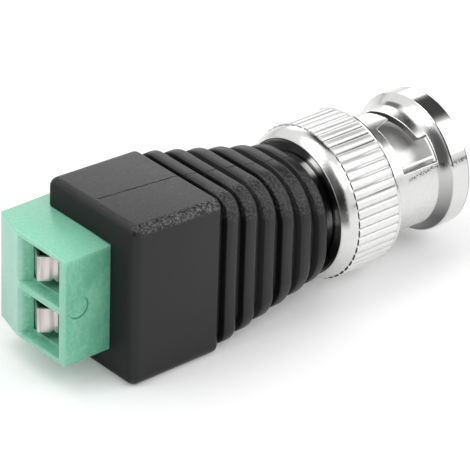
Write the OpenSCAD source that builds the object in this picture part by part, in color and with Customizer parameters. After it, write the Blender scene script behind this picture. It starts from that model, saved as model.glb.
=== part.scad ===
// Bayonet coaxial plug with a two-pole screw terminal block.
// X runs along the plug's axis towards the coupling nut, Y+ is the screw side, Z+ is up.
// Every module is drawn with the plug's axis on X and X = 0 on the front face of the black
// body, then on_bench() sets it down with the body's flat bottom on Z = 0.

/* [Moulded body] */
// Width of the black block, along Y
body_w = 12.0; // [11.4:0.1:13]
// Height of the black block, along Z
body_h = 15.6; // [14.6:0.1:17]
// Length of the black block, along X
body_len = 9.7; // [8.5:0.1:11]
// Radius on the block's edges
body_r = 0.9; // [0.4:0.1:1.2]
// Distance from the plug's axis down to the block's flat bottom
axis_drop = 7.3; // [7.28:0.02:7.8]
// How much lower the block's top is at its back than at its front
top_draft = 0.4; // [0:0.05:0.6]

/* [Strain relief ribs] */
// Number of ribs behind the block
rib_count = 6; // [4:1:7]
// Distance from one rib to the next
rib_pitch = 2.13; // [1.9:0.01:2.3]
// Gap between two ribs
rib_gap = 0.55; // [0.4:0.05:0.8]
// Depth of the gap between two ribs
rib_depth = 1.0; // [0.6:0.1:1.3]
// Height of the first rib
rib_h = 14.75; // [13.5:0.05:15.4]
// Width of the ribs, along Y
rib_w = 12.3; // [11.6:0.1:13]
// Corner radius of the first rib
rib_r = 1.9; // [1.2:0.1:3]
// Height of the last rib
rib_end_h = 12.5; // [11.8:0.1:13]
// Corner radius of the last rib
rib_end_r = 5.4; // [4:0.1:5.6]
// How far the last rib's centre lies below the plug's axis
rib_end_drop = 0.25; // [0:0.05:0.4]

/* [Terminal block] */
// Length of the green block along Z, across both poles
term_len = 10.3; // [10.2:0.1:11]
// Distance between the two poles
pole_pitch = 5.08; // [4.9:0.02:5.2]
// Height of the green block along Y, to its screw face
term_h = 10.0; // [9.8:0.1:10.6]
// Depth of the green block along X
term_depth = 7.6; // [7.4:0.1:8.2]
// How far the green block stands out of the black block
term_proud = 4.86; // [4.4:0.02:5.2]
// How far its side face lies below the plug's axis, along Y
term_side = 2.87; // [2.7:0.01:3.1]
// Height of the upright part of its wire face
wire_face_h = 6.6; // [6.4:0.1:7]
// How far the slanted part of its front leans back
front_lean = 0.95; // [0.6:0.05:1.2]
// Width of a wire entry, along Z
entry_w = 4.44; // [4.2:0.02:4.6]
// Wall under a wire entry
entry_wall = 0.76; // [0.6:0.02:0.9]
// Diameter of the ejector's mark on the side face
mark_d = 2.1; // [1.6:0.1:2.6]
// How much the end face falls away towards the side face
end_slope = 0.15; // [0.05:0.05:0.25]

/* [Clamps] */
// Width of a clamp frame, along Z
frame_w = 3.8; // [3.6:0.05:4]
// Height of a clamp frame, along Y
frame_h = 6.7; // [6.5:0.05:6.8]
// Length of a clamp frame, along X
frame_len = 4.1; // [3.8:0.1:4.3]
// Thickness of its threaded top
frame_top = 1.0; // [0.8:0.1:1.2]
// Thickness of its sides and floor
frame_wall = 0.5; // [0.4:0.05:0.6]
// Thread diameter of a terminal screw
screw_d = 2.5; // [2.3:0.1:2.6]
// Head diameter of a terminal screw
screw_head_d = 3.8; // [3.5:0.1:3.9]
// Head height of a terminal screw
screw_head_h = 1.1; // [0.9:0.05:1.2]
// How far a screw travels between open and closed
screw_travel = 1.5; // [1:0.1:1.5]
// Thread pitch of a terminal screw
screw_pitch = 0.5; // [0.45:0.05:0.6]
// Width of the slot in a screw head
screw_slot_w = 0.7; // [0.5:0.05:0.9]
// Width of a wire guard, along Z
guard_w = 2.4; // [2.2:0.1:2.6]
// Thickness of a wire guard's sheet
guard_t = 0.3; // [0.2:0.05:0.35]
// Diameter of a solder pin
solder_pin_d = 1.0; // [0.8:0.1:1.2]
// Length of a solder pin below its frame
solder_pin_len = 2.1; // [1.9:0.1:2.2]
// Diameter of the two leads inside the body
lead_d = 0.9; // [0.7:0.1:1]

/* [Plug body] */
// Diameter of the collar seen behind the nut
collar_d = 10.1; // [9.6:0.1:10.6]
// Diameter of the journal that the nut's flange turns on
journal_d = 8.7; // [8.4:0.1:9]
// Diameter of the guide flange inside the nut
guide_d = 9.7; // [9.6:0.02:9.74]
// Outer diameter of the slotted outer contact
contact_d = 8.1; // [8:0.02:8.16]
// Inner diameter of the slotted outer contact
contact_bore = 6.9; // [6.6:0.1:7]
// How far the outer contact's tip sits back from the nut's rim
contact_setback = 1.7; // [1:0.1:2.4]
// Number of slots in the outer contact
contact_slots = 4; // [2:1:6]
// Width of a slot in the outer contact
contact_slot_w = 0.4; // [0.3:0.05:0.6]
// Diameter of the centre pin's tip
pin_d = 1.35; // [1.32:0.01:1.37]
// Diameter of the centre pin's stem
pin_stem_d = 1.0; // [0.9:0.05:1.2]

/* [Coupling nut] */
// X of the nut's back rim
nut_back_x = 23.12; // [22.9:0.02:23.6]
// Depth of the bevel behind the knurl, measured on the radius
nut_back_bevel = 0.58; // [0.4:0.02:0.7]
// X where the knurl starts
knurl_x0 = 24.7; // [24.4:0.05:25]
// X where the knurl ends
knurl_x1 = 29.34; // [29:0.02:29.8]
// Diameter over the knurl
knurl_d = 14.5; // [14.2:0.1:14.56]
// Number of knurl ridges
knurl_count = 50; // [36:2:60]
// Depth of a knurl groove
knurl_depth = 0.14; // [0.08:0.02:0.2]
// Width of the plain ring in front of the knurl
knurl_ring = 0.3; // [0.2:0.05:0.5]
// Diameter of the smooth neck
neck_d = 11.2; // [11.16:0.02:11.6]
// X where the neck flares out to the rim
flare_x = 35.6; // [35.2:0.05:36]
// X where the rim's plain ring starts
rim_x0 = 36.65; // [36.4:0.05:36.9]
// X of the front of the rim
rim_x1 = 38.61; // [38.2:0.01:39]
// Diameter of the rim
rim_d = 13.1; // [12.9:0.02:13.3]
// Bore that slides over the mating socket
nut_bore = 9.8; // [9.78:0.02:9.9]
// Wall between the knurl and the chamber that holds the washers
chamber_wall = 1.45; // [1.3:0.05:1.5]
// Diameter across the bayonet grooves inside the nut
lug_groove_d = 11.0; // [10.9:0.02:11.06]
// Axial play that the nut has against its spring
nut_travel = 0.6; // [0.3:0.1:0.8]

/* [Washers] */
// Gap between the washers and the chamber's wall
washer_gap = 0.1; // [0.05:0.05:0.3]
// Thickness of a thrust washer
thrust_t = 0.4; // [0.3:0.05:0.5]
// Thickness of the wave washers' sheet
wave_t = 0.25; // [0.2:0.05:0.3]
// Half of the wave's height
wave_amp = 0.35; // [0.25:0.05:0.4]
// Thickness of the sealing ring
seal_t = 1.0; // [0.8:0.1:1.2]

/* [Fits] */
// Gap all round a piece that the black body is moulded on
mould_gap = 0.02; // [0.01:0.01:0.04]
// Gap round a piece that sits still in the green block
seat_gap = 0.05; // [0.03:0.01:0.08]
// Radial running clearance
run_gap = 0.04; // [0.02:0.01:0.05]
// Gap between flat faces that turn on each other
face_gap = 0.03; // [0.02:0.01:0.05]

/* [Hidden] */
$fn = 64;

black = [0.2, 0.2, 0.2];
green = [0.45, 0.78, 0.62];
nickel = [0.78, 0.78, 0.77];
tin = [0.82, 0.8, 0.78];
brass = [0.75, 0.6, 0.3];

// The block's centre lies above the plug's axis, and so do the two poles
block_z = body_h / 2 - axis_drop;
pole_z = [block_z + pole_pitch / 2, block_z - pole_pitch / 2];
mid_x = (rim_x1 - term_proud) / 2;

// Ribs: the first starts behind the block, the last is round and ends the body
rib_x0 = body_len + 0.8 * rib_gap;
body_end_x = rib_x0 + (rib_count - 1) * rib_pitch + 1.1;
rib_corner_steps = 6;

// Green block: its side face, screw face and the lines of its front
term_y0 = -term_side;
term_y1 = term_y0 + term_h;
lean_y = term_y0 + wire_face_h;
term_back_x = term_depth - term_proud;
entry_y0 = term_y0 + entry_wall;
end_slope_y = -0.17;
mark_x = -3.4;
guide_len = 1.1;
guide_drop = 0.86;
chamber_x0 = -term_proud + guide_len;
frame_x1 = term_back_x - 1.0;
frame_x0 = frame_x1 - frame_len;
frame_y0 = term_y0 + 0.55;
frame_y1 = frame_y0 + frame_h;
frame_in_y0 = frame_y0 + frame_wall;
frame_in_y1 = frame_y1 - frame_top;
screw_x = (frame_x0 + frame_x1) / 2;
screw_head_y = frame_y1 + screw_travel + face_gap;

// Wire guard: flap under the screw, nose towards the wire entry, foot on the wire
guard_nose = [-term_proud + 0.4, 1.2];
guard_flap_y = frame_in_y1 - 0.4;
guard_foot_y = 0.1;
guard_path = [[frame_x1 - 0.4, guard_flap_y], [guard_nose[0] + 1.08, guard_flap_y], guard_nose,
              [guard_nose[0] + 1.23, guard_foot_y], [frame_x1 - 0.4, guard_foot_y]];

// Solder pins and leads
pin_x = frame_x1 - 0.8;
pin_tip_y = frame_y0 - solder_pin_len;
lead_y = pin_tip_y - 0.6;
lead_run_x = 5.5;

// Stack inside the nut, from its flange to the guide flange of the plug body
nut_back_d = knurl_d - 2 * nut_back_bevel;
chamber_d = knurl_d - 2 * chamber_wall;
washer_d = chamber_d - 2 * washer_gap;
nut_seat_x = nut_back_x + 0.38;
flange_t = 1.0;
flange_front_x = nut_seat_x + flange_t;
wave_h = wave_t + 2 * wave_amp;
wave_1_x = flange_front_x + face_gap + thrust_t;
wave_2_x = wave_1_x + wave_h;
front_washer_x = wave_2_x + wave_h;
guide_x0 = front_washer_x + thrust_t;
chamber_x1 = knurl_x1 + 0.1;
guide_x1 = knurl_x1 + 1.3;
contact_x1 = rim_x1 - contact_setback;
seal_x1 = guide_x1 + seal_t;
insulator_x0 = body_len + 2.6;
insulator_x1 = guide_x1 + 0.5;
shank_x0 = insulator_x0;
shank_d = journal_d - 0.5;
pin_x0 = insulator_x0 - 2.4;
pin_x1 = contact_x1 - 0.5;

// Bayonet windows: edges as X and angle round the axis, 90 degrees being the top
window_back_x = 31.75;
window_front_x = 36.2;
entry_a0 = 126;
entry_a1 = 154;
cam_x0 = 34.8;
cam_rise = 0.0135;
tail_a0 = 66;
tail_a1 = 96;
detent_a0 = 46;
tail_w = 0.7;

module on_bench() {
    translate([-mid_x, 0, axis_drop]) children();
}

// A round rod along X from x0 to x1
module rod_x(x0, x1, d) {
    translate([x0, 0, 0]) rotate([0, 90, 0]) cylinder(h = x1 - x0, d = d);
}

// A tube along X
module tube_x(x0, x1, d_out, d_in) {
    difference() {
        rod_x(x0, x1, d_out);
        rod_x(x0 - 1, x1 + 1, d_in);
    }
}

// A profile of [x, radius] points turned about the X axis
module turned(points) {
    rotate([0, 90, 0]) rotate([0, 0, 180]) rotate_extrude($fn = 96)
        polygon([for (q = points) [q[1], q[0]]]);
}

// Rounded rectangle as points in the YZ plane, from a full-size one less an inset
function quarter(cy, cz, r, a0) =
    [for (i = [0:rib_corner_steps]) let (a = a0 + 90 * i / rib_corner_steps)
        [cy + r * cos(a), cz + r * sin(a)]];
function ring_2d(w, h, r, cz) =
    let (y = w / 2 - r, z = h / 2 - r)
    concat(quarter(y, cz + z, r, 0), quarter(-y, cz + z, r, 90),
           quarter(-y, cz - z, r, 180), quarter(y, cz - z, r, 270));
function ring(x, w, h, r, cz, inset) =
    [for (q = ring_2d(w - 2 * inset, h - 2 * inset, max(r - inset, 0.3), cz)) [x, q[0], q[1]]];

// Skin through rings that all have the same number of points
module loft(rings) {
    n = len(rings[0]);
    m = len(rings);
    polyhedron(points = [for (r = rings) for (q = r) q],
        faces = concat(
            [[for (i = [0:n - 1]) i]],
            [[for (i = [n - 1:-1:0]) (m - 1) * n + i]],
            [for (j = [0:m - 2]) for (i = [0:n - 1])
                let (a = j * n + i, b = j * n + (i + 1) % n) each [[a, a + n, b], [b, a + n, b + n]]]));
}

// The block: rounded at both ends, its top dropping a little towards the back
function block_ring(x, inset) =
    let (drop = top_draft * x / body_len)
    ring(x, body_w, body_h - drop, body_r, block_z - drop / 2, inset);
block_rings = [for (a = [0:22.5:90]) block_ring(body_r * (1 - sin(a)), body_r * (1 - cos(a)))];
function reversed(v) = [for (i = [len(v) - 1:-1:0]) v[i]];
front_rings = reversed(block_rings);
back_rings = [for (a = [0:30:90])
    block_ring(body_len - 0.5 * (1 - sin(a)), 0.5 * (1 - cos(a)))];

// A rib's section grows rounder and less tall from the first to the last
function rib_share(i) = i / (rib_count - 1);
function rib_ring(i, x, inset) =
    let (t = rib_share(i))
    ring(rib_x0 + i * rib_pitch + x, rib_w, rib_h + (rib_end_h - rib_h) * t,
         rib_r + (rib_end_r - rib_r) * t, (block_z - 0.2) * (1 - t) - rib_end_drop * t, inset);
rib_land = rib_pitch - rib_gap;
function rib_rings(i) =
    i < rib_count - 1
    ? [rib_ring(i, 0, rib_depth), rib_ring(i, 0.02, 0.1), rib_ring(i, 0.12, 0), rib_ring(i, 0.6 * rib_land, 0),
       rib_ring(i, 0.83 * rib_land, 0.13), rib_ring(i, 0.98 * rib_land, 0.4),
       rib_ring(i, rib_land, rib_depth)]
    : [rib_ring(i, 0, rib_depth), rib_ring(i, 0.02, 0.1), rib_ring(i, 0.12, 0), rib_ring(i, 0.8, 0),
       rib_ring(i, 1.0, 0.12), rib_ring(i, 1.1, 0.4)];

module lead(points, grow) {
    for (i = [0:len(points) - 2]) {
        v = points[i + 1] - points[i];
        translate(points[i]) rotate([0, acos(v[2] / norm(v)), atan2(v[1], v[0])])
            cylinder(h = norm(v), d = lead_d + grow, $fn = 32);
        // A rounded elbow, a little thicker than the two straight runs that it joins
        if (i > 0) translate(points[i]) rotate([20, 30, 40]) sphere(d = lead_d + grow + 0.2, $fn = 32);
    }
}
signal_route = [[pin_x, pin_tip_y, pole_z[0]], [pin_x, lead_y, pole_z[0]], [lead_run_x, lead_y, pole_z[0]],
                [pin_x0 - 1.4, 0, 0], [pin_x0, 0, 0]];
ground_route = [[pin_x, pin_tip_y, pole_z[1]], [pin_x, lead_y, pole_z[1]], [lead_run_x, lead_y, pole_z[1]],
                [shank_x0 - 1.2, -3.4, -1.3], [shank_x0, -3.4, -1.3]];

module moulded_body() {
    color(black) on_bench() difference() {
        loft(concat(front_rings, back_rings, [for (i = [0:rib_count - 1]) each rib_rings(i)]));
        // Seat of the green block, open on the screw side
        translate([-1, term_y0 - mould_gap, block_z - term_len / 2 - mould_gap])
            cube([1 + term_back_x + mould_gap, body_w, term_len + 2 * mould_gap]);
        // What the body is moulded round
        for (z = pole_z) translate([pin_x, pin_tip_y, z]) rotate([-90, 0, 0])
            cylinder(h = solder_pin_len + 1, d = solder_pin_d + 2 * mould_gap);
        lead(signal_route, 2 * mould_gap);
        lead(ground_route, 2 * mould_gap);
        rod_x(pin_x0 - mould_gap, insulator_x0 + 0.1, pin_stem_d + 2 * mould_gap);
        rod_x(shank_x0 - mould_gap, body_end_x + 1, shank_d + 2 * mould_gap);
        rod_x(body_end_x - 1 - mould_gap, body_end_x + 1, collar_d + 2 * mould_gap);
    }
}

module terminal_housing() {
    color(green) on_bench() difference() {
        // Side profile with the slanted front, along Z
        translate([0, 0, block_z - term_len / 2]) linear_extrude(term_len) polygon([
            [-term_proud, term_y0], [term_back_x, term_y0], [term_back_x, term_y1],
            [-term_proud + front_lean, term_y1], [-term_proud, lean_y]]);
        for (z = pole_z) {
            // Wire entry: its screw-side wall leads the wire down under the guard
            translate([0, 0, z - entry_w / 2]) linear_extrude(entry_w) polygon([
                [-term_proud - 1, entry_y0], [chamber_x0 + 0.01, entry_y0],
                [chamber_x0 + 0.01, lean_y - 0.14 - guide_drop],
                [-term_proud, lean_y - 0.14], [-term_proud - 1, lean_y - 0.14]]);
            // Chamber of the clamp frame
            translate([chamber_x0, frame_y0 - seat_gap, z - frame_w / 2 - seat_gap])
                cube([frame_x1 + seat_gap - chamber_x0, frame_h + 2 * seat_gap, frame_w + 2 * seat_gap]);
            // Screw well
            translate([screw_x, 0, z]) rotate([-90, 0, 0]) cylinder(h = term_h, d = screw_head_d + 0.2);
            // Hole for the solder pin
            translate([pin_x, term_y0 - 1, z]) rotate([-90, 0, 0])
                cylinder(h = 3, d = solder_pin_d + 2 * seat_gap);
        }
        // Shallow round mark of an ejector pin on the side face
        translate([mark_x, term_y0 - 1, block_z + 0.2]) rotate([-90, 0, 0]) cylinder(h = 1.06, d = mark_d);
        // The end face falls away a little from the screw side to the side face
        translate([-term_proud - 1, 0, block_z + term_len / 2]) rotate([90, 0, 90])
            linear_extrude(term_depth + 2) polygon([[end_slope_y, 0], [term_y0 - 1, 1], [term_y0 - 1, -end_slope],
                [term_y0, -end_slope]]);
    }
}

module clamp_frame(z) {
    color(tin) on_bench() difference() {
        translate([frame_x0, frame_y0, z - frame_w / 2]) cube([frame_len, frame_h, frame_w]);
        translate([frame_x0 - 1, frame_in_y0, z - frame_w / 2 + frame_wall])
            cube([frame_len + 2, frame_in_y1 - frame_in_y0, frame_w - 2 * frame_wall]);
        translate([screw_x, frame_in_y1 - 0.5, z]) rotate([-90, 0, 0])
            cylinder(h = frame_top + 1, d = screw_d + 2 * run_gap);
        translate([pin_x, frame_y0 - 1, z]) rotate([-90, 0, 0])
            cylinder(h = frame_wall + 2, d = solder_pin_d + 0.02);
    }
}

// A strip of sheet along a path in the XY plane, with rounded bends
module strip(path, t) {
    for (i = [0:len(path) - 2]) {
        v = path[i + 1] - path[i];
        translate(path[i]) rotate(atan2(v[1], v[0])) translate([0, -t / 2]) square([norm(v), t]);
        if (i > 0) translate(path[i]) circle(d = t, $fn = 32);
    }
}

module wire_guard(z) {
    color(tin) on_bench() translate([0, 0, z - guard_w / 2]) difference() {
        linear_extrude(guard_w) strip(guard_path, guard_t);
        // The foot's lower corner is cropped
        translate([guard_nose[0] + 0.9, guard_nose[1] - 0.9, -0.3]) rotate([0, 0, -42])
            rotate([0, 45, 0]) cube([0.8, 1.2, 0.8], center = true);
    }
}

module terminal_screw(z) {
    color(nickel) on_bench() translate([screw_x, 0, z]) rotate([-90, 0, 0]) difference() {
        union() {
            translate([0, 0, guard_flap_y + guard_t / 2]) cylinder(h = 0.3, d1 = screw_d - 0.6, d2 = screw_d);
            translate([0, 0, guard_flap_y + guard_t / 2 + 0.3])
                cylinder(h = screw_head_y - guard_flap_y - guard_t / 2 - 0.2, d = screw_d);
            translate([0, 0, screw_head_y]) cylinder(h = screw_head_h, d = screw_head_d);
        }
        // Driver slot
        translate([-screw_head_d, -screw_slot_w / 2, screw_head_y + 0.5 * screw_head_h])
            cube([2 * screw_head_d, screw_slot_w, screw_head_h]);
    }
}

module solder_pin(z) {
    color(tin) on_bench() translate([pin_x, pin_tip_y, z]) rotate([-90, 0, 0])
        cylinder(h = solder_pin_len + frame_wall, d = solder_pin_d);
}

module signal_lead() {
    color(brass) on_bench() lead(signal_route, 0);
}

module ground_lead() {
    color(brass) on_bench() lead(ground_route, 0);
}

// Plug body: shank held in the moulding, journal for the nut, guide flange, contact seat
module plug_shell() {
    color(nickel) on_bench() difference() {
        turned([[shank_x0, 0], [shank_x0, shank_d / 2], [body_end_x - 1, shank_d / 2],
                [body_end_x - 1, journal_d / 2], [guide_x0, journal_d / 2], [guide_x0, guide_d / 2],
                [guide_x1, guide_d / 2], [guide_x1, 0]]);
        rod_x(shank_x0 - 1, guide_x0 + 1, contact_bore + 0.02);
        rod_x(guide_x0 + 0.4, guide_x1 + 1, contact_d + 0.02);
    }
}

module rear_collar() {
    color(nickel) on_bench() tube_x(body_end_x - 1, nut_seat_x - face_gap, collar_d, journal_d + 0.02);
}

module insulator() {
    color([0.93, 0.93, 0.9]) on_bench() tube_x(insulator_x0, insulator_x1, contact_bore, pin_stem_d + 0.02);
}

module centre_pin() {
    color(brass) on_bench() union() {
        rod_x(pin_x0, insulator_x1 + 0.2, pin_stem_d);
        rod_x(insulator_x1, pin_x1 - 0.6, pin_d);
        translate([pin_x1 - 0.6, 0, 0]) rotate([0, 90, 0]) cylinder(h = 0.6, d1 = pin_d, d2 = pin_d - 0.7);
    }
}

module outer_contact() {
    color(nickel) on_bench() difference() {
        tube_x(guide_x0 + 0.4, contact_x1, contact_d, contact_bore);
        for (i = [0:contact_slots - 1]) rotate([360 * i / contact_slots + 60, 0, 0])
            translate([seal_x1 + 0.4, 0, -contact_slot_w / 2])
                cube([contact_x1 - seal_x1, contact_d, contact_slot_w]);
    }
}

module sealing_ring() {
    color([0.85, 0.5, 0.35]) on_bench() tube_x(guide_x1, seal_x1, guide_d - 0.1, contact_d + 0.1);
}

module thrust_washer(x0) {
    color(tin) on_bench() tube_x(x0, x0 + thrust_t, washer_d, journal_d + 2 * run_gap);
}

// A ring bent into three waves round the axis, as a band between two wavy faces
wave_steps = 36;
function wave_point(x0, a, r, side) =
    [x0 + wave_h / 2 + wave_amp * cos(3 * a) + side * wave_t / 2, r * cos(a), r * sin(a)];
module wave_washer(x0, turn) {
    r_in = journal_d / 2 + 0.1;
    r_out = washer_d / 2 - 0.1;
    points = [for (i = [0:wave_steps - 1]) let (a = 360 * i / wave_steps) each
        [wave_point(x0, a, r_in, -1), wave_point(x0, a, r_out, -1),
         wave_point(x0, a, r_out, 1), wave_point(x0, a, r_in, 1)]];
    faces = [for (i = [0:wave_steps - 1]) for (k = [0:3])
        let (a = 4 * i + k, b = 4 * i + (k + 1) % 4,
             c = 4 * ((i + 1) % wave_steps) + k, d = 4 * ((i + 1) % wave_steps) + (k + 1) % 4)
        each [[a, c, b], [b, c, d]]];
    color(tin) on_bench() rotate([turn, 0, 0]) polyhedron(points = points, faces = faces);
}

// A cutter that follows the neck between radius r0 and r1. Each station is
// [angle, X of the back edge, X of the front edge].
module wrap_cut(r0, r1, stations) {
    n = len(stations) - 1;
    points = [for (s = stations) let (y = cos(s[0]), z = sin(s[0])) each
        [[s[1], r0 * y, r0 * z], [s[2], r0 * y, r0 * z], [s[2], r1 * y, r1 * z], [s[1], r1 * y, r1 * z]]];
    faces = concat([[0, 1, 2, 3]], [[4 * n + 3, 4 * n + 2, 4 * n + 1, 4 * n]],
        [for (i = [0:n - 1]) for (k = [0:3]) let (a = 4 * i + k, b = 4 * i + (k + 1) % 4)
            each [[a, a + 4, b], [b, a + 4, b + 4]]]);
    polyhedron(points = points, faces = faces);
}
function cam_x(a) = cam_x0 - cam_rise * (entry_a0 - a);
function steps(a0, a1, n) = [for (i = [0:n]) a0 + (a1 - a0) * i / n];

// One bayonet track: entry groove under the rim, window through the neck, cam groove
module bayonet_track() {
    in_r = nut_bore / 2 - 0.3;
    groove_r = lug_groove_d / 2;
    wrap_cut(in_r, groove_r, [for (a = steps(entry_a0 + 0.6, entry_a1 - 0.6, 6))
        [a, window_back_x + 0.6, rim_x1 + 1]]);
    wrap_cut(in_r, neck_d / 2 + 0.55, concat(
        [for (a = steps(tail_a0, tail_a1, 5)) [a, cam_x(a) - tail_w, cam_x(a)]],
        [for (a = steps(tail_a1 + 6, entry_a0, 5)) [a, window_back_x, cam_x(a)]],
        [for (a = steps(entry_a0 + 0.3, entry_a1, 5)) [a, window_back_x, window_front_x]]));
    wrap_cut(in_r, groove_r, concat(
        [for (a = steps(detent_a0, detent_a0 + 9, 2)) [a, window_back_x + 0.2, cam_x(detent_a0) + 0.35]],
        [for (a = steps(detent_a0 + 11, tail_a1 + 12, 8)) [a, window_back_x + 0.2, cam_x(a) + 0.06]]));
}

module coupling_nut() {
    knurl_r = knurl_d / 2;
    color(nickel) on_bench() difference() {
        turned([[nut_back_x, nut_back_d / 2 - 0.3], [nut_back_x, nut_back_d / 2],
                [knurl_x0, knurl_r], [knurl_x1 + knurl_ring - 0.1, knurl_r],
                [knurl_x1 + knurl_ring, knurl_r - 0.1], [knurl_x1 + knurl_ring, neck_d / 2],
                [flare_x, neck_d / 2], [rim_x0 - 0.25, rim_d / 2 - 0.35], [rim_x0, rim_d / 2],
                [rim_x1 - 0.12, rim_d / 2], [rim_x1, rim_d / 2 - 0.12], [rim_x1, nut_bore / 2 + 0.35],
                [rim_x1 - 0.35, nut_bore / 2], [chamber_x1, nut_bore / 2], [chamber_x1, chamber_d / 2],
                [flange_front_x, chamber_d / 2], [flange_front_x, journal_d / 2 + run_gap],
                [nut_seat_x, journal_d / 2 + run_gap], [nut_seat_x, collar_d / 2 + 0.1]]);
        // Straight knurl: round grooves along the axis
        for (i = [0:knurl_count - 1]) rotate([360 * (i + 0.625) / knurl_count, 0, 0])
            translate([knurl_x0 + 0.05, knurl_r + 0.1, 0]) rotate([0, 90, 0])
                cylinder(h = knurl_x1 - knurl_x0, r = 0.1 + knurl_depth, $fn = 16);
        for (side = [0, 180]) rotate([side, 0, 0]) bayonet_track();
    }
}

terminal_housing();
clamp_frame(pole_z[0]);  // clamp_frame_1
clamp_frame(pole_z[1]);  // clamp_frame_2
wire_guard(pole_z[0]);  // wire_guard_1
wire_guard(pole_z[1]);  // wire_guard_2
terminal_screw(pole_z[0]);  // terminal_screw_1
terminal_screw(pole_z[1]);  // terminal_screw_2
solder_pin(pole_z[0]);  // solder_pin_1
solder_pin(pole_z[1]);  // solder_pin_2
signal_lead();
ground_lead();
moulded_body();
plug_shell();
rear_collar();
insulator();
centre_pin();
outer_contact();
sealing_ring();
thrust_washer(front_washer_x);  // front_thrust_washer
wave_washer(wave_1_x, 0);  // wave_washer_1
wave_washer(wave_2_x, 60);  // wave_washer_2
thrust_washer(flange_front_x + face_gap);  // rear_thrust_washer
coupling_nut();
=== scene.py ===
# A bayonet coaxial plug with a two-pole screw terminal block. Its pieces are made one section
# at a time, in the order in which the real one is put together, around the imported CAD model.
import bpy
import bmesh
from math import atan2, ceil, cos, pi, radians, sin, tau
from mathutils import Matrix, Vector


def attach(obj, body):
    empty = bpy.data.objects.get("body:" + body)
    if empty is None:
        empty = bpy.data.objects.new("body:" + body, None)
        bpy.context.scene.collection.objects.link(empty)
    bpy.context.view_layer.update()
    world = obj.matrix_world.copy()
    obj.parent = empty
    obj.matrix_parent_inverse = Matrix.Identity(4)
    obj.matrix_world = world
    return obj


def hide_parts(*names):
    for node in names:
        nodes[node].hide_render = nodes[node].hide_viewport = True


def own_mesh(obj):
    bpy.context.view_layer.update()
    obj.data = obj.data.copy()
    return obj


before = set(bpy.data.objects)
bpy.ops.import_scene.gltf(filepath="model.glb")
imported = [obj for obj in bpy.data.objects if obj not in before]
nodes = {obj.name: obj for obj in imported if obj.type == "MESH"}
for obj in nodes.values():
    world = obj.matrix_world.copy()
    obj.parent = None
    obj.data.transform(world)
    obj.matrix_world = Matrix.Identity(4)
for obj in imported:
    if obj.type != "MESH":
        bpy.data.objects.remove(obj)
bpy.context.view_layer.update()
scene = bpy.context.scene

# --- Where the photograph was taken from -------------------------------------------------
# A camera fitted to the edges of the block, ribs and nut. It looks down past the black
# body's corner, from far away, so the plug hardly narrows with distance.
TURN, DROP, ROLL = radians(-41.10), radians(29.90), radians(1.73)
look = Vector((-sin(TURN) * cos(DROP), cos(TURN) * cos(DROP), -sin(DROP)))
level = Vector((cos(TURN), sin(TURN), 0.0))
rise = level.cross(look)
across = cos(ROLL) * level + sin(ROLL) * rise
upward = cos(ROLL) * rise - sin(ROLL) * level
aim = Vector((12.0 - 16.875, 0.0, 7.8))
eye = (aim - look * 320.0 + across * 1.83 + upward * 0.59) * 0.001
lens = bpy.data.cameras.new("photo_camera")
lens.sensor_width = 36.0
lens.lens = 3681.5 / 470.0 * 36.0
lens.shift_x = (235.0 - 217.89) / 470.0
lens.shift_y = (233.22 - 235.0) / 470.0
lens.clip_start = 0.01
camera = bpy.data.objects.new("photo_camera", lens)
scene.collection.objects.link(camera)
camera.matrix_world = Matrix((
    (across.x, upward.x, -look.x, eye.x),
    (across.y, upward.y, -look.y, eye.y),
    (across.z, upward.z, -look.z, eye.z),
    (0.0, 0.0, 0.0, 1.0)))
scene.camera = camera


# --- The white table and the soft lamps --------------------------------------------------
# A plain pale table in an even white room, with a large soft lamp overhead and a weaker one
# beside the camera. Wire and Finish are how this and every later finish is written.
class Wire:
    """A socket in a finish. Sums on it add the maths nodes that work them out."""

    def __init__(self, finish, socket):
        self.finish, self.socket = finish, socket

    def _sum(self, operation, other, turned=False):
        pair = (other, self) if turned else (self, other)
        return self.finish.node("ShaderNodeMath", {"operation": operation}, pair)

    def __add__(self, o): return self._sum("ADD", o)
    def __radd__(self, o): return self._sum("ADD", o, True) if o else self
    def __sub__(self, o): return self._sum("SUBTRACT", o)
    def __rsub__(self, o): return self._sum("SUBTRACT", o, True)
    def __mul__(self, o): return self._sum("MULTIPLY", o)
    def __rmul__(self, o): return self._sum("MULTIPLY", o, True)
    def __truediv__(self, o): return self._sum("DIVIDE", o)
    def __mod__(self, o): return self._sum("FLOORED_MODULO", o)
    def __abs__(self): return self._sum("ABSOLUTE", 0.0)


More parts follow.
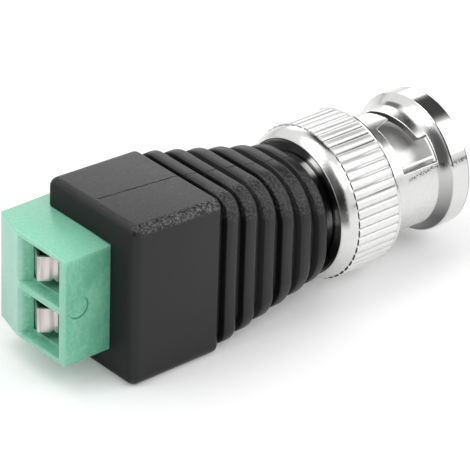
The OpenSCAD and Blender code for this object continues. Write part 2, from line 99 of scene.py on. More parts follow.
class Finish:
    """A procedural finish, built node by node."""

    def __init__(self, name, world=False):
        self.material = (bpy.data.worlds if world else bpy.data.materials).new(name)
        self.material.use_nodes = True
        self.tree = self.material.node_tree
        self.tree.nodes.clear()

    def node(self, kind, settings=(), values=(), give=0):
        """One node: its settings first, then its inputs by name or by place."""
        made = self.tree.nodes.new(kind)
        for key, value in dict(settings).items():
            if key != "stops":
                setattr(made, key, value)
                continue
            stops = made.color_ramp.elements
            for i, (place, colour) in enumerate(value):
                stop = stops[i] if i < 2 else stops.new(place)
                stop.position = place
                stop.color = (*(colour if isinstance(colour, tuple) else (colour,) * 3), 1.0)
        for key, value in (values.items() if isinstance(values, dict) else enumerate(values)):
            socket = made.inputs[key]
            if isinstance(value, Wire):
                self.tree.links.new(value.socket, socket)
            else:
                long = isinstance(value, tuple) and len(value) == 3 and socket.type == "RGBA"
                socket.default_value = (*value, 1.0) if long else value
        return Wire(self, made.outputs[give]) if len(made.outputs) else None

    def point(self):
        """Where on the piece a point is, and its X from the black body's front, Y and Z from
        the plug's axis, all three in millimetres."""
        spot = self.node("ShaderNodeTexCoord", give="Object")
        split = self.node("ShaderNodeSeparateXYZ", (), (spot,)).socket.node
        x, y, z = (Wire(self, out) for out in split.outputs)
        return spot, x * 1000.0 + 16.875, y * 1000.0, z * 1000.0 - 7.3

    def noise(self, at, size_mm, detail=2.0, rough=0.5):
        return self.node("ShaderNodeTexNoise", (), {
            "Vector": at, "Scale": 1000.0 / size_mm, "Detail": detail, "Roughness": rough})

    def step(self, wire, low, high):
        """0 below low and 1 above high, with a soft step between them."""
        return self.node("ShaderNodeMapRange", {"interpolation_type": "SMOOTHSTEP"}, {0: wire, 1: low, 2: high})

    def mix(self, share, a, b):
        return self.node("ShaderNodeMix", {"data_type": "RGBA"}, {0: share, 6: a, 7: b}, 2)

    def bump(self, height, depth_mm, strength=1.0):
        return self.node("ShaderNodeBump", (), {"Strength": strength, "Distance": depth_mm * 0.001, "Height": height})

    def skin(self, **values):
        """The piece's surface, closed off with the material's output."""
        made = self.node("ShaderNodeBsdfPrincipled", (), {k.replace("_", " "): v for k, v in values.items()})
        self.node("ShaderNodeOutputMaterial", (), (made,))
        return self.material


def seen_by(finish, *kinds):
    """1 for a ray of one of these kinds, 0 for any other."""
    path = finish.node("ShaderNodeLightPath").socket.node
    total = sum(Wire(finish, path.outputs["Is " + kind + " Ray"]) for kind in kinds)
    return finish.node("ShaderNodeMath", {"operation": "MINIMUM"}, (total, 1.0))


# The room is white to the camera, to metal and to glass. Metal also finds its darker parts: a
# gap overhead between two soft boxes, the side the photograph was taken from, and the horizon
room = Finish("white_room", world=True)
seen = seen_by(room, "Camera", "Glossy", "Transmission")
heading = room.node("ShaderNodeTexCoord", give="Generated")


def towards(*way):
    return room.node("ShaderNodeVectorMath", {"operation": "DOT_PRODUCT"}, (heading, way), "Value")


skyline = towards(0.0, 0.0, 1.0)
dark = (room.step(towards(0.571, 0.254, 0.781), 0.88, 0.965) * 0.93
        + room.step(towards(-0.600, -0.630, 0.490), 0.80, 0.90) * 0.90
        + room.step(skyline, 0.07, 0.10) * (1.0 - room.step(skyline, 0.13, 0.16)) * 0.6)
shut = room.node("ShaderNodeMath", {"operation": "MINIMUM"}, (dark, 0.93)) * seen_by(room, "Glossy")
glow = room.node("ShaderNodeBackground", (), {"Color": (1.0, 1.0, 1.0), "Strength": (seen * 0.45 + 0.55) * (1.0 - shut)})
room.node("ShaderNodeOutputWorld", (), (glow,))
scene.world = room.material
scene.view_settings.view_transform = "Standard"

table_mesh = bpy.data.meshes.new("table")
table_mesh.from_pydata([(-2, -2, 0), (2, -2, 0), (2, 2, 0), (-2, 2, 0)], [], [(0, 1, 2, 3)])
table = bpy.data.objects.new("table", table_mesh)
scene.collection.objects.link(table)
paper = Finish("white_paper")
seen = seen_by(paper, "Camera", "Glossy", "Transmission")
grain = paper.noise(paper.point()[0], 3.0)
table_mesh.materials.append(paper.skin(
    Base_Color=paper.mix(grain, (0.86, 0.86, 0.86), (0.88, 0.88, 0.88)), Roughness=0.9,
    Emission_Color=paper.mix(seen, (0.0, 0.0, 0.0), (0.18, 0.18, 0.18)), Emission_Strength=1.0))


def soft_box(name, heading, size, glow, away=0.5):
    """A round soft lamp that faces the plug, placed by its heading and given by how bright it looks."""
    light = bpy.data.lights.new(name, "AREA")
    light.shape, light.size, light.energy = "DISK", size, glow * pi * pi * size * size / 4
    held = bpy.data.objects.new(name, light)
    scene.collection.objects.link(held)
    held.location = Vector(heading).normalized() * away + Vector((0.0, 0.0, 0.008))
    held.rotation_euler = Vector(heading).to_track_quat("Z", "Y").to_euler()


soft_box("behind_right", (0.57, 0.735, 0.36), 0.27, 1.12)
soft_box("front_right", (0.57, -0.55, 0.61), 0.40, 1.25)
soft_box("front", (0.0, -0.62, 0.80), 0.30, 1.5)
soft_box("left", (-0.60, 0.15, 0.78), 0.30, 1.8)
soft_box("overhead", (-0.15, 0.25, 1.0), 0.30, 2.2, 0.45)

# --- Plug body and its inner pieces ------------------------------------------------------
# The plug body, its rear collar and the slotted contact are turned brass under nickel plate.
# The collar shows behind the nut, and the contact through the nut's windows.


def axis_point(x, radius, angle):
    """A point round the plug's axis: X from the black body's front, angle from +Y over the top."""
    return Vector((x - 16.875, radius * cos(angle), 7.3 + radius * sin(angle))) * 0.001


def turned(profile, steps=160):
    """A closed profile of (X, radius) spun round the plug's axis, as a mesh being built."""
    made = bmesh.new()
    rings = [[made.verts.new(axis_point(x, r, tau * k / steps)) for x, r in profile] for k in range(steps)]
    count = len(profile)
    for k in range(steps):
        a, b = rings[k], rings[(k + 1) % steps]
        for i in range(count):
            j = (i + 1) % count
            made.faces.new((a[i], a[j], b[j], b[i]))
    bmesh.ops.remove_doubles(made, verts=made.verts, dist=1e-8)
    bmesh.ops.recalc_face_normals(made, faces=made.faces)
    return made


def shade(mesh, crease=32.0):
    """Smooth faces, with a hard edge wherever the surface turns more than crease degrees."""
    work = bmesh.new()
    work.from_mesh(mesh)
    for face in work.faces:
        face.smooth = True
    for edge in work.edges:
        edge.smooth = len(edge.link_faces) == 2 and edge.calc_face_angle(0.0) < radians(crease)
    work.to_mesh(mesh)
    work.free()


def piece(name, made, material, body, slot, *stands_for, crease=32.0):
    """An object from a built mesh, with its finish, that rides on a body and stands for CAD nodes."""
    mesh = bpy.data.meshes.new(name)
    made.to_mesh(mesh)
    made.free()
    shade(mesh, crease)
    mesh.materials.append(material)
    thing = bpy.data.objects.new(name, mesh)
    scene.collection.objects.link(thing)
    settle(thing, body, slot, *stands_for)
    return thing


def settle(thing, body, slot, *stands_for):
    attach(thing, body)
    if stands_for:
        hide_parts(*stands_for)


def nickel(name, rough=0.16, marks=0.0, tone=(0.66, 0.75), shade_painted=False):
    """Nickel plate: bright, faintly warm, with fine turning lines and, with marks, small pits.
    When asked to, it is painted near black as shade, except for two slivers left bright where its highlights fall."""
    made = Finish(name)
    spot, x, y, z = made.point()
    lines = made.noise(made.node("ShaderNodeCombineXYZ", (), (x * 0.06, y * 0.004, z * 0.004)), 60.0, 3.0)
    cloud = made.noise(spot, 1.6, 3.0)
    pits = made.step(made.noise(spot, 0.16, 3.0, 0.7), 0.62, 0.72) * marks
    low, high = tone
    colour = made.mix(cloud, (low, low, low - 0.01), (high, high, high - 0.01))
    if shade_painted:
        # Painted shade: near black everywhere except two slivers, which keep the plain nickel tone for the highlights
        slivers = (made.step(y * -1.0, 0.9, 1.3) * (1.0 - made.step(y * -1.0, 2.2, 2.9)) * made.step(z, 3.0, 3.5)
                   + made.step(y * -1.0, 4.70, 4.90) * made.step(z, -0.1, 0.6) * 0.45)
        colour = made.mix(slivers * -0.94 + 0.94, colour, (0.03, 0.03, 0.03))
    return made.skin(Base_Color=made.mix(pits, colour, (0.30, 0.30, 0.30)), Metallic=1.0,
                     Roughness=lines * 0.08 + (rough - 0.04) + pits * 0.3,
                     Normal=made.bump(lines + pits * -1.0, 0.006, 0.35))


plate = nickel("nickel_plate", 0.07)
collar = [(20.905, 4.36), (20.905, 5.05), (23.33, 5.05), (23.46, 4.92), (23.46, 4.36)]
piece("rear_collar", turned(collar), nickel("collar_nickel", 0.06, shade_painted=True), "plug", "nickel_plate", "rear_collar")
for name in ("plug_shell", "front_thrust_washer", "rear_thrust_washer", "wave_washer_1", "wave_washer_2"):
    nodes[name].material_slots[0].material = plate

# The two wave washers, which flatten together against the front thrust washer as the nut slides, get meshes of their
# own
for name in ("wave_washer_1", "wave_washer_2"):
    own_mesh(nodes[name])

contact = turned([(27.63, 3.45), (27.63, 4.05), (36.66, 4.05), (36.91, 3.85), (36.91, 3.60), (36.75, 3.45)])
cuts = bmesh.new()
for k in range(4):
    angle = tau * k / 4 + radians(60)
    spread = Vector((0.0, -sin(angle), cos(angle))) * 0.00014
    corners = [axis_point(x, r, angle) + spread * side for side in (-1, 1) for x, r in
               ((32.03, 3.0), (38.0, 3.0), (38.0, 4.6), (32.03, 4.6))]
    v = [cuts.verts.new(c) for c in corners]
    for loop in ((0, 1, 2, 3), (7, 6, 5, 4), (0, 4, 5, 1), (1, 5, 6, 2), (2, 6, 7, 3), (3, 7, 4, 0)):
        cuts.faces.new([v[i] for i in loop])
bmesh.ops.recalc_face_normals(cuts, faces=cuts.faces)


def carve(body, cutter):
    """What is left of one built mesh once another is cut out of it."""
    pair = []
    for made in (body, cutter):
        mesh = bpy.data.meshes.new("blank")
        made.to_mesh(mesh)
        made.free()
        pair.append(bpy.data.objects.new("blank", mesh))
        scene.collection.objects.link(pair[-1])
    cut = pair[0].modifiers.new("cut", "BOOLEAN")
    cut.operation, cut.solver, cut.object = "DIFFERENCE", "EXACT", pair[1]
    left = bpy.data.meshes.new_from_object(pair[0].evaluated_get(bpy.context.evaluated_depsgraph_get()))
    made = bmesh.new()
    made.from_mesh(left)
    for thing in pair:
        bpy.data.objects.remove(thing)
    bpy.data.meshes.remove(left)
    bmesh.ops.remove_doubles(made, verts=made.verts, dist=2e-8)
    return made


piece("outer_contact", carve(contact, cuts), nickel("contact_nickel", 0.42), "plug", "nickel_plate", "outer_contact")

gold = Finish("pin_brass")
spot, x, y, z = gold.point()
gold.skin(Base_Color=gold.mix(gold.noise(spot, 0.8), (0.80, 0.60, 0.28), (0.86, 0.67, 0.34)), Metallic=1.0,
          Roughness=gold.noise(spot, 0.3) * 0.12 + 0.16)
for name in ("centre_pin", "signal_lead", "ground_lead"):
    nodes[name].material_slots[0].material = gold.material
white = Finish("white_insulator")
spot, x, y, z = white.point()
white.skin(Base_Color=white.mix(white.noise(spot, 1.0), (0.84, 0.84, 0.81), (0.90, 0.90, 0.88)),
           Roughness=0.42, Normal=white.bump(white.noise(spot, 0.1), 0.004, 0.3))
nodes["insulator"].material_slots[0].material = white.material
seal = Finish("seal_rubber")
spot, x, y, z = seal.point()
seal.skin(Base_Color=seal.mix(seal.noise(spot, 0.7), (0.16, 0.06, 0.04), (0.22, 0.08, 0.055)),
          Roughness=0.6, Normal=seal.bump(seal.noise(spot, 0.08), 0.004, 0.3))
nodes["sealing_ring"].material_slots[0].material = seal.material

# --- Green terminal housing --------------------------------------------------------------
# Injection moulded in green polyamide: soft small edges, two wire entries in the front, and
# an ejector's mark on the side. The parting burr under the partition is left on, as moulded.


def softened(node, radius_mm, segments=2, crease=28.0):
    """A merged copy of a CAD node with its flat faces joined and its edges rounded."""
    made = bmesh.new()
    made.from_mesh(nodes[node].data)
    bmesh.ops.remove_doubles(made, verts=made.verts, dist=1e-7)
    bmesh.ops.dissolve_limit(made, angle_limit=radians(0.5), verts=made.verts, edges=made.edges)
    mesh = bpy.data.meshes.new("blank")
    made.to_mesh(mesh)
    made.free()
    thing = bpy.data.objects.new("blank", mesh)
    scene.collection.objects.link(thing)
    edge = thing.modifiers.new("edge", "BEVEL")
    edge.width, edge.segments, edge.limit_method = radius_mm * 0.001, segments, "ANGLE"
    edge.angle_limit, edge.use_clamp_overlap = radians(crease), True
    done = bpy.data.meshes.new_from_object(thing.evaluated_get(bpy.context.evaluated_depsgraph_get()))
    made = bmesh.new()
    made.from_mesh(done)
    bpy.data.objects.remove(thing)
    bpy.data.meshes.remove(done)
    return made


green = Finish("green_polyamide")
spot, x, y, z = green.point()
mottle = green.noise(spot, 1.4, 3.0)
tone = green.mix(mottle, (0.150, 0.52, 0.335), (0.205, 0.61, 0.42))
# Painted light: the top of the housing is painted lighter, and so is its front face
tone = green.mix(green.step(z, 4.9, 5.5) * 0.5, tone, (0.34, 0.76, 0.57))
tone = green.mix((1.0 - green.step(x, -4.84, -4.5)) * 0.4, tone, (0.42, 0.80, 0.65))
tone = green.mix(green.step(green.noise(spot, 0.30, 3.0, 0.6), 0.52, 0.66) * 0.35, tone, (0.42, 0.76, 0.60))
tone = green.mix(green.step(green.noise(spot, 0.42, 3.0, 0.7), 0.62, 0.70) * 0.45, tone, (0.08, 0.33, 0.21))
# Painted light: the slanted face on the +Y side is painted lighter, as if lit from the left
lit_slant = green.step(y, 3.15, 3.45) * (1.0 - green.step(x, -3.4, -3.0)) * (1.0 - green.step(z, 5.45, 5.6))
tone = green.mix(lit_slant * 0.55, tone, (0.55, 0.86, 0.76))
streaks = green.noise(green.node("ShaderNodeCombineXYZ", (), (x, y, z * 0.3)), 380.0, 3.0, 0.6)
tone = green.mix(green.step(streaks, 0.44, 0.62) * 0.3, tone, (0.36, 0.72, 0.55))
# The ejector's mark is shadowed along its lower right edge
reach = green.node("ShaderNodeMath", {"operation": "SQRT"}, ((x + 3.4) * (x + 3.4) + (z - 0.7) * (z - 0.7),))
arc = (1.0 - green.step(abs(reach - 1.02), 0.04, 0.13)) * green.step(x - z + 4.1, -0.5, 0.5)
tone = green.mix(arc * green.step(y * -1.0, 2.6, 2.75) * 0.7, tone, (0.04, 0.20, 0.12))
# Painted shade: the housing is painted darker from its front back towards the black body
deep_shade = green.step(x, -4.5, -2.1)
green.skin(Base_Color=green.mix(deep_shade * 0.25, tone, (0.09, 0.36, 0.21)),
           Roughness=green.noise(spot, 0.5) * 0.12 + 0.30, Specular_IOR_Level=0.5,
           Subsurface_Weight=0.12, Subsurface_Radius=(0.0006, 0.0012, 0.0008),
           Normal=green.bump(green.noise(spot, 0.12, 3.0), 0.006, 0.5))
piece("terminal_housing", softened("terminal_housing", 0.12), green.material, "plug", "green_plastic",
      "terminal_housing")
flash = bmesh.new()
for y, z, size in ((2.85, 0.02, 0.16), (2.62, -0.08, 0.20), (2.40, 0.0, 0.14), (2.20, -0.06, 0.18), (1.95, 0.02, 0.13)):
    place = axis_point(size - 4.85, 0.0, 0.0) + Vector((0.0, y, z)) * 0.001
    bmesh.ops.create_icosphere(flash, subdivisions=2, radius=size * 0.001, matrix=Matrix.Translation(place))
piece("housing_flash", flash, green.material, "plug", "green_plastic", crease=180.0)

# --- Clamps: frames, wire guards, screws and solder pins ---------------------------------
# Each pole has a tinned steel cage with a threaded top, a folded strip that the screw presses
# on the wire, and a nickel-plated slotted screw. A round pin carries the pole into the body.
tin = Finish("tin_plate")
spot, x, y, z = tin.point()
smear = tin.noise(tin.node("ShaderNodeCombineXYZ", (), (x * 0.3, y * 1.0, z * 0.05)), 420.0, 3.0)
tin.skin(Base_Color=tin.mix(tin.step(smear, 0.36, 0.60), (0.42, 0.38, 0.37), (0.70, 0.63, 0.62)), Metallic=1.0,
         Roughness=tin.noise(spot, 0.35, 3.0) * 0.2 + 0.22, Normal=tin.bump(tin.noise(spot, 0.2, 3.0), 0.008, 0.5))
steel = nickel("screw_nickel", 0.24)
for pole in ("1", "2"):
    piece("clamp_frame_" + pole, softened("clamp_frame_" + pole, 0.08), tin.material, "plug", "tinned_metal",
          "clamp_frame_" + pole)
    piece("wire_guard_" + pole, softened("wire_guard_" + pole, 0.05), tin.material, "guard_" + pole,
          "tinned_metal", "wire_guard_" + pole)
    piece("terminal_screw_" + pole, softened("terminal_screw_" + pole, 0.10), steel, "screw_" + pole,
          "nickel_plate", "terminal_screw_" + pole)
    nodes["solder_pin_" + pole].material_slots[0].material = tin.material

# --- Black moulded body ------------------------------------------------------------------
# Black PVC moulded over the terminal block and the plug's shank in one shot. A grained block
# runs into six ribs, whose section turns from the block's rectangle into the plug's circle.
BLOCK_W, BLOCK_H, BLOCK_L, BLOCK_Z = 12.0, 15.6, 9.7, 0.5
RIB_X, RIB_PITCH, RIB_LAND, RIBS = 10.14, 2.13, 1.58, 6


def section(x, width, height, corner, centre, inset, corner_steps=14):
    """A rounded rectangle round the plug's axis at X, as points in millimetres."""
    r = max(corner - inset, 0.3)
    y0, z0 = width / 2 - inset - r, height / 2 - inset - r
    ring = []
    for quarter, (sy, sz) in enumerate(((1, 1), (-1, 1), (-1, -1), (1, -1))):
        for i in range(corner_steps + 1):
            a = (quarter + i / corner_steps) * pi / 2
            ring.append((x, sy * y0 + r * cos(a), centre + sz * z0 + r * sin(a)))
    return ring


def block_section(x, inset):
    low = 0.4 * x / BLOCK_L
    return section(x, BLOCK_W, BLOCK_H - low, 0.9, BLOCK_Z - low / 2, inset)


def rib_section(i, along, inset):
    share = i / (RIBS - 1)
    return section(RIB_X + i * RIB_PITCH + along, 12.3, 14.75 - 2.25 * share, 1.9 + 3.5 * share,
                   0.3 * (1 - share) - 0.25 * share, inset)


def skinned(rings, closed_ends=True):
    made = bmesh.new()
    cage = [[made.verts.new((x * 0.001 - 0.016875, y * 0.001, z * 0.001 + 0.0073)) for x, y, z in ring]
            for ring in rings]
    for a, b in zip(cage, cage[1:]):
        for k in range(len(a)):
            made.faces.new((a[k], b[k], b[(k + 1) % len(a)], a[(k + 1) % len(a)]))
    if closed_ends:
        made.faces.new(cage[0])
        made.faces.new(reversed(cage[-1]))
    bmesh.ops.recalc_face_normals(made, faces=made.faces)
    return made


rings = []
for k in range(9):
    a = pi / 2 * k / 8
    rings.append(block_section(0.9 * (1 - sin(a)), 0.9 * (1 - cos(a))))
rings.reverse()
for k in range(7):
    a = pi / 2 * k / 6
    rings.append(block_section(BLOCK_L - 0.5 * (1 - sin(a)), 0.5 * (1 - cos(a))))
for i in range(RIBS):
    last = i == RIBS - 1
    rings += [rib_section(i, along, inset) for along, inset in (
        ((0.0, 0.8), (0.0, 0.12), (0.03, 0.05), (0.10, 0.0), (0.50, 0.0), (0.80, 0.0), (0.95, 0.04), (1.05, 0.14),
         (1.10, 0.30)) if last else
        ((0.0, 0.8), (0.0, 0.12), (0.03, 0.05), (0.10, 0.0), (0.55, 0.0), (0.95, 0.01), (1.15, 0.05), (1.30, 0.13),
         (1.42, 0.22), (1.54, 0.34), (1.64, 0.52), (1.68, 0.8)))]
body = skinned(rings)

hollows = bmesh.new()


def add_box(made, low, high):
    """A box between two corners, in millimetres from the body's front and the plug's axis."""
    v = [made.verts.new(((x - 16.875) * 0.001, y * 0.001, (z + 7.3) * 0.001))
         for x in (low[0], high[0]) for y in (low[1], high[1]) for z in (low[2], high[2])]
    for loop in ((0, 1, 3, 2), (4, 6, 7, 5), (0, 4, 5, 1), (2, 3, 7, 6), (0, 2, 6, 4), (1, 5, 7, 3)):
        made.faces.new([v[i] for i in loop])


add_box(hollows, (-1.0, -2.89, 0.5 - 5.17), (2.76, 8.0, 0.5 + 5.17))
bmesh.ops.recalc_face_normals(hollows, faces=hollows.faces)
body = carve(body, hollows)
seat = turned([(20.88, 4.0), (20.88, 5.07), (23.0, 5.07), (23.0, 4.0)], 96)
body = carve(body, seat)

black = Finish("black_pvc")
spot, x, y, z = black.point()
grain = black.noise(spot, 0.13, 3.0, 0.6)
coarse = black.noise(spot, 0.55, 3.0, 0.6)
# The block's top edge and the ribs' corners above this line came out grainier than the flat sides, and the mould's
# parting line shows on the top. The grain's light grey specks there are painted highlights
line = 5.9 - (x - 9.9) * 0.30
speck = black.step(black.noise(spot, 0.20, 3.0, 0.65), 0.44, 0.62)
corner = black.step(z + x * 0.041 - y - 12.5, 0.90, 1.20) * (1.0 - black.step(x, 9.2, 9.6))
grain_glint_band = black.step(z - line, -0.3, 0.3) * black.step(x, 9.7, 9.9) * black.step(y * -1.0, 2.4, 3.6)
top = black.step(z + x * 0.041, 8.1, 8.25) * (1.0 - black.step(x, 9.2, 9.6))
seam = (1.0 - black.step(abs(y + x * 0.06 - 0.25 + (coarse - 0.5) * 0.5), 0.03, 0.12)) * black.step(z, 4.6, 4.8)
seam = seam * black.step(x, 0.95, 1.1)
tone = black.mix(coarse, (0.004, 0.004, 0.0045), (0.009, 0.009, 0.0095))
# Painted light: the grooves between the ribs are painted lighter, to lift their shade
groove = black.step((x - RIB_X) % RIB_PITCH, 1.5, 1.68) * black.step(x, 9.7, 9.9) * (1.0 - black.step(x, 21.6, 21.8))
tone = black.mix(groove * 0.8, tone, (0.05, 0.05, 0.05))
# Painted highlight: light grey specks on the grain of the top edge and the rib corners
tone = black.mix(speck * (corner * (x * 0.03 + 0.25) + grain_glint_band * 0.16 + top * 0.04), tone, (0.30, 0.30, 0.30))
black.skin(Base_Color=tone, Roughness=coarse * 0.14 + 0.32 + seam * 0.3 + (1.0 - black.step(x, 0.05, 0.3)) * 0.3, Specular_IOR_Level=0.38,
           Normal=black.bump(grain + speck * (corner + grain_glint_band) * 2.0 - seam * 6.0, 0.03, 0.35))
piece("moulded_body", body, black.material, "plug", "black_plastic", "moulded_body", crease=38.0)

# --- Coupling nut ------------------------------------------------------------------------
# Turned brass under nickel: a dished back, a straight knurl, a smooth neck and a flared rim.
# Two windows through the neck are the bayonet's tracks, and the knurl is rolled on.
NUT = [(23.12, 6.39), (23.14, 6.46), (23.22, 6.53), (23.45, 6.69), (23.70, 6.86), (23.92, 6.96),
       (24.20, 7.04), (24.58, 7.12), (24.64, 7.12), (24.70, 7.09), (29.28, 7.09), (29.32, 7.16), (29.40, 7.24),
       (29.54, 7.24), (29.64, 7.14), (29.66, 5.62),
       (35.00, 5.60), (35.35, 5.61), (35.62, 5.66), (35.85, 5.76), (36.42, 6.20), (36.60, 6.42), (36.65, 6.50),
       (36.72, 6.55), (38.49, 6.55), (38.61, 6.43), (38.61, 5.25), (38.26, 4.90), (29.44, 4.90), (29.44, 5.80),
       (24.50, 5.80), (24.50, 4.39), (23.50, 4.39), (23.50, 5.15), (23.44, 5.90), (23.34, 6.22), (23.20, 6.36)]
nut = turned(NUT, 192)
tracks = bmesh.new()


def add_wrap(made, inner, outer, stations, turn):
    """A cutter round the axis. A station is (angle, X of its back edge, X of its front edge)."""
    loops = []
    for angle, back, front in stations:
        a = radians(angle + turn)
        loops.append([made.verts.new(axis_point(x, r, a)) for x, r in
                      ((back, inner), (front, inner), (front, outer), (back, outer))])
    for a, b in zip(loops, loops[1:]):
        for k in range(4):
            made.faces.new((a[k], b[k], b[(k + 1) % 4], a[(k + 1) % 4]))
    made.faces.new(loops[0])
    made.faces.new(reversed(loops[-1]))


def cam(angle):
    return 34.8 - 0.0135 * (126 - angle)


def span(start, stop, count):
    return [start + (stop - start) * k / count for k in range(count + 1)]


for half in (0, 180):
    add_wrap(tracks, 4.6, 6.15, [(a, cam(a) - 0.70, cam(a)) for a in span(66, 96, 12)]
             + [(a, 31.75, cam(a)) for a in span(102, 126, 10)]
             + [(a, 31.75, 35.75) for a in span(126.3, 154, 12)], half)
bmesh.ops.recalc_face_normals(tracks, faces=tracks.faces)
nut = carve(nut, tracks)
grooves = bmesh.new()
for half in (0, 180):
    add_wrap(grooves, 4.6, 5.50, [(a, 33.0, 40.0) for a in span(126.6, 153.4, 10)], half)
    add_wrap(grooves, 4.7, 5.49, [(a, 31.95, cam(46) + 0.35) for a in span(46, 55, 4)]
             + [(a, 31.95, cam(a) + 0.06) for a in span(57, 108, 20)], half)
bmesh.ops.recalc_face_normals(grooves, faces=grooves.faces)
nut = carve(nut, grooves)

# The rim and the back are polished, the neck is satin with small marks, and the flare and the walls of the tracks are
# duller.
# Painted shade darkens the flare, the track walls and the furrows. A painted dark reflection darkens the dish, the
# back's -Y side and the rim's front edge. The knurl's plain ring ends in a painted dark line of shade.
mirror = Finish("nut_nickel")
spot, x, y, z = mirror.point()
radius = mirror.node("ShaderNodeMath", {"operation": "SQRT"}, (y * y + z * z,))
rim = mirror.step(x, 36.56, 36.64)
flare = mirror.step(x, 35.45, 35.65) * (1.0 - rim)
neck = mirror.step(x, 29.60, 29.66) * (1.0 - mirror.step(x, 35.45, 35.65))
inner = mirror.step(x, 31.6, 31.7) * (1.0 - mirror.step(radius, 5.50, 5.56)) * (1.0 - mirror.step(x, 36.0, 36.3))
deep_shade = inner * mirror.step(x, 35.76, 35.9)
back = 1.0 - mirror.step(x, 23.9, 24.6)
side = mirror.step(y * -1.0, 5.0, 5.9) * mirror.step(z, 0.3, 1.5)
lip = mirror.step(x, 38.34, 38.42) * mirror.step(radius, 6.3, 6.4)
streak = mirror.step(x, 35.5, 35.7) * (1.0 - mirror.step(x, 35.95, 36.15)) * (1.0 - mirror.step(abs(y - 1.2), 0.6, 1.4))
blot = mirror.step(x, 34.0, 34.5) * (1.0 - mirror.step(x, 35.2, 35.7)) * (1.0 - mirror.step(abs(y + 1.9), 0.3, 0.8))
scuff = mirror.step(z - x * 0.105, -1.75, -1.60) * (1.0 - mirror.step(z - x * 0.105, -1.42, -1.30)) * mirror.step(x, 31.9, 32.6)
dish = (1.0 - mirror.step(radius, 6.34, 6.40)) * (1.0 - mirror.step(x, 23.6, 23.7)) * (1.0 - mirror.step(z, -1.6, -0.4) * 0.35)
furrow = mirror.step(x, 24.66, 24.72) * (1.0 - mirror.step(x, 29.28, 29.34)) * (1.0 - mirror.step(radius, 7.10, 7.14))
edge = mirror.step(x, 29.52, 29.57) * (1.0 - mirror.step(x, 29.64, 29.66)) * mirror.step(radius, 6.9, 7.0)
cloud = mirror.noise(spot, 1.3, 3.0, 0.6)
lines = mirror.noise(mirror.node("ShaderNodeCombineXYZ", (), (x * 0.06, y * 0.004, z * 0.004)), 60.0, 3.0)
fine = mirror.noise(spot, 0.14, 3.0, 0.7)
pits = mirror.step(fine, 0.60, 0.70)
tone = mirror.mix(cloud, (0.66, 0.66, 0.65), (0.75, 0.75, 0.74))
# Painted shade: the flare is painted darker, more so towards its bottom
tone = mirror.mix(flare * (0.50 - z * 0.15), tone, (0.14, 0.14, 0.14))
# Painted shade: the walls inside the windows are painted dark grey, and near black past their front edges
tone = mirror.mix(inner * 0.7, tone, (0.22, 0.22, 0.22))
tone = mirror.mix(deep_shade * 0.9, tone, (0.03, 0.03, 0.03))
tone = mirror.mix(mirror.step(z, 4.4, 4.8) * (streak * 0.85 + blot * mirror.step(fine, 0.42, 0.58) * 0.6), tone, (0.06, 0.06, 0.06))
# Painted reflection: a dark grey ring at the rim's front edge stands in for its grazing reflection
tone = mirror.mix(lip * 0.55, tone, (0.20, 0.20, 0.20))
# Painted reflection: the back is painted near black on its -Y side, just above the axis
tone = mirror.mix(side * (1.0 - mirror.step(x + fine * 0.9, 24.05, 24.3)) * 0.8, tone, (0.02, 0.02, 0.02))
tone = mirror.mix(scuff * mirror.step(y * -1.0, 4.0, 4.4) * mirror.step(fine, 0.47, 0.56) * 0.85, tone, (0.04, 0.04, 0.04))
# Painted shade: a dark line at the corner where the knurl's plain ring ends
tone = mirror.mix(edge * 0.85, tone, (0.05, 0.05, 0.05))
# Painted reflection: the dish is painted near black, most of all at its bottom
tone = mirror.mix(dish * 0.9, tone, (0.05, 0.05, 0.05))
# Painted shade: the nut's surface between the knurl's ridges is painted darker
tone = mirror.mix(furrow * 0.6, tone, (0.30, 0.30, 0.30))
finish = mirror.skin(Base_Color=mirror.mix(pits * (neck * 0.15 + inner * 0.5), tone, (0.30, 0.30, 0.30)), Metallic=1.0,
                     Roughness=lines * 0.06 + 0.05 + rim * 0.05 + back * 0.14 + neck * (cloud * 0.2 + 0.10) + flare * 0.12 + inner * 0.2,
                     Normal=mirror.bump(lines * 0.5 + fine * (1.0 - rim * 0.6 + back * 2.0), 0.006, 0.5))
coupling = piece("coupling_nut", nut, finish, "nut", "nickel_plate", "coupling_nut", crease=34.0)

# A fine bright burr runs round the edge of each window, on the outside
burr = bmesh.new()
outline = ([(cam(a), 5.57, a) for a in span(66, 124, 24)] + [(34.80, 5.57, 125.4), (34.95, 5.575, 126.3)]
           + [(35.74, 5.70, a) for a in span(126.3, 154, 10)] + [(35.4, 5.61, 154.1), (34.8, 5.58, 154.1)]
           + [(33.0, 5.575, 154.1), (31.75, 5.575, 154)] + [(31.75, 5.575, a) for a in span(148, 102, 10)]
           + [(cam(a) - 0.70, 5.57, a) for a in span(96, 66, 12)])
for half in (0, 180):
    loop = [axis_point(x, r, radians(a + half)) for x, r, a in outline]
    tube = []
    for k, spot in enumerate(loop):
        way = (loop[(k + 1) % len(loop)] - loop[k - 1]).normalized()
        outwards = Vector((0.0, spot.y, spot.z - 0.0073)).normalized()
        aside = way.cross(outwards).normalized()
        tube.append([burr.verts.new(spot + (outwards * cos(tau * j / 6) + aside * sin(tau * j / 6)) * 0.000055)
                     for j in range(6)])
    for a, b in zip(tube, tube[1:] + tube[:1]):
        for j in range(6):
            burr.faces.new((a[j], b[j], b[(j + 1) % 6], a[(j + 1) % 6]))
bmesh.ops.recalc_face_normals(burr, faces=burr.faces)
piece("window_burrs", burr, nickel("burr_nickel", 0.2, tone=(0.85, 0.92)), "nut", "nickel_plate", crease=180.0)

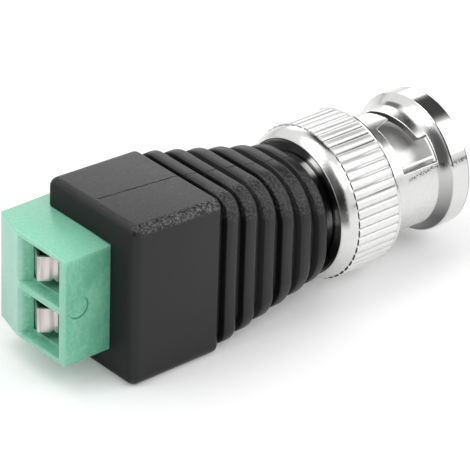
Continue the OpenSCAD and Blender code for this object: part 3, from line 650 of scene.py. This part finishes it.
# The knurl: one ridge, set round the nut 50 times by a node tree
ridge = bmesh.new()
HALF = 0.33
for x, low in ((24.62, 0.03), (24.70, 0.0), (29.16, 0.0), (29.33, 0.06)):
    for across_mm, up in ((-HALF - 0.09, 7.03), (-HALF, 7.19 - low), (-HALF + 0.10, 7.238 - low), (0.0, 7.25 - low),
                          (HALF - 0.10, 7.238 - low), (HALF, 7.19 - low), (HALF + 0.09, 7.03)):
        ridge.verts.new((x * 0.001, across_mm * 0.001, up * 0.001))
ridge.verts.ensure_lookup_table()
for s in range(3):
    for k in range(6):
        a, b = s * 7 + k, (s + 1) * 7 + k
        ridge.faces.new([ridge.verts[i] for i in (a, b, b + 1, a + 1)])
ridge.faces.new([ridge.verts[i] for i in range(7)])
ridge.faces.new([ridge.verts[i] for i in range(27, 20, -1)])
ridge.faces.new([ridge.verts[i] for i in (0, 6, 13, 20, 27, 21, 14, 7)])
bmesh.ops.recalc_face_normals(ridge, faces=ridge.faces)
ridge_mesh = bpy.data.meshes.new("ridge")
ridge.to_mesh(ridge_mesh)
ridge.free()
shade(ridge_mesh, 50.0)
ridge_holder = bpy.data.objects.new("ridge", ridge_mesh)
scene.collection.objects.link(ridge_holder)

tree = bpy.data.node_groups.new("straight_knurl", "GeometryNodeTree")
face = tree.interface
face.new_socket("Geometry", in_out="INPUT", socket_type="NodeSocketGeometry")
for label, kind in (("Ridge", "NodeSocketObject"), ("Count", "NodeSocketInt"), ("Axis height", "NodeSocketFloat"),
                    ("Back", "NodeSocketFloat"), ("First ridge", "NodeSocketFloat"),
                    ("Finish", "NodeSocketMaterial")):
    face.new_socket(label, in_out="INPUT", socket_type=kind)
face.new_socket("Geometry", in_out="OUTPUT", socket_type="NodeSocketGeometry")


def gnode(kind, **links):
    """One node of the tree: plain values are set, and sockets are linked."""
    made = tree.nodes.new(kind)
    for key, value in links.items():
        key = key.replace("_", " ")
        if hasattr(value, "is_output"):
            tree.links.new(value, made.inputs[key])
        elif key in made.inputs:
            made.inputs[key].default_value = value
        else:
            setattr(made, key.replace(" ", "_"), value)
    return made


given = tree.nodes.new("NodeGroupInput").outputs
one = gnode("GeometryNodeObjectInfo", Object=given["Ridge"])
spots = gnode("GeometryNodePoints", Count=given["Count"])
index = gnode("GeometryNodeInputIndex").outputs[0]
part = gnode("ShaderNodeMath", operation="DIVIDE")
tree.links.new(index, part.inputs[0])
tree.links.new(given["Count"], part.inputs[1])
turn = gnode("ShaderNodeMath", operation="MULTIPLY_ADD")
tree.links.new(part.outputs[0], turn.inputs[0])
turn.inputs[1].default_value = tau
tree.links.new(given["First ridge"], turn.inputs[2])
spin = gnode("ShaderNodeCombineXYZ", X=turn.outputs[0])
shift = gnode("ShaderNodeCombineXYZ", X=given["Back"], Z=given["Axis height"])
placed = gnode("GeometryNodeInstanceOnPoints", Points=spots.outputs[0], Instance=one.outputs["Geometry"],
               Rotation=spin.outputs[0])
moved = gnode("GeometryNodeTransform", Geometry=placed.outputs[0], Translation=shift.outputs[0])
real = gnode("GeometryNodeRealizeInstances", Geometry=moved.outputs[0])
coated = gnode("GeometryNodeSetMaterial", Geometry=real.outputs[0], Material=given["Finish"])
tree.links.new(coated.outputs[0], tree.nodes.new("NodeGroupOutput").inputs[0])


def grown(name, tree, **inputs):
    """What a node tree makes with these inputs, as a plain object of its own."""
    seed = bpy.data.objects.new(name, bpy.data.meshes.new(name))
    scene.collection.objects.link(seed)
    made = seed.modifiers.new("tree", "NODES")
    made.node_group = tree
    for item in tree.interface.items_tree:
        key = item.name.replace(" ", "_")
        if item.in_out == "INPUT" and key in inputs:
            made[item.identifier] = inputs[key]
    bpy.context.view_layer.update()
    mesh = bpy.data.meshes.new_from_object(seed.evaluated_get(bpy.context.evaluated_depsgraph_get()))
    bpy.data.objects.remove(seed)
    mesh.name = name
    thing = bpy.data.objects.new(name, mesh)
    scene.collection.objects.link(thing)
    return thing


# The ridges are satin from rolling, with painted shade that makes them greyer in the furrows and dark on their square
# ends
rolled = Finish("knurl_nickel")
spot, x, y, z = rolled.point()
radius = rolled.node("ShaderNodeMath", {"operation": "SQRT"}, (y * y + z * z,))
fine = rolled.noise(spot, 0.16, 3.0, 0.7)
tone = rolled.mix(rolled.noise(spot, 0.9, 3.0), (0.78, 0.78, 0.77), (0.90, 0.90, 0.89))
# Painted shade: the ridges are greyer low down, in the furrows
tone = rolled.mix((1.0 - rolled.step(radius, 7.12, 7.21)) * 0.5, tone, (0.40, 0.40, 0.40))
# Painted shade: the ridges' square back ends are painted near black, most of all on the -Y side
ends = (1.0 - rolled.step(x, 24.625, 24.66)) * (rolled.step(y * -1.0, 2.0, 4.2) * 0.65 + 0.3)
tone = rolled.mix(ends, tone, (0.03, 0.03, 0.03))
knurl_finish = rolled.skin(Base_Color=rolled.mix(rolled.step(fine, 0.62, 0.72) * 0.3, tone, (0.35, 0.35, 0.35)),
                           Metallic=0.62, Roughness=fine * 0.2 + 0.24, Normal=rolled.bump(fine, 0.01, 0.5))
FIRST = 360.0 * 0.125 / 50 - 90.0
knurl = grown("nut_knurl", tree, Ridge=ridge_holder, Count=50, Axis_height=0.0073, Back=-0.016875,
              First_ridge=radians(FIRST), Finish=knurl_finish)
bpy.data.objects.remove(ridge_holder)
settle(knurl, "nut", "nickel_plate")
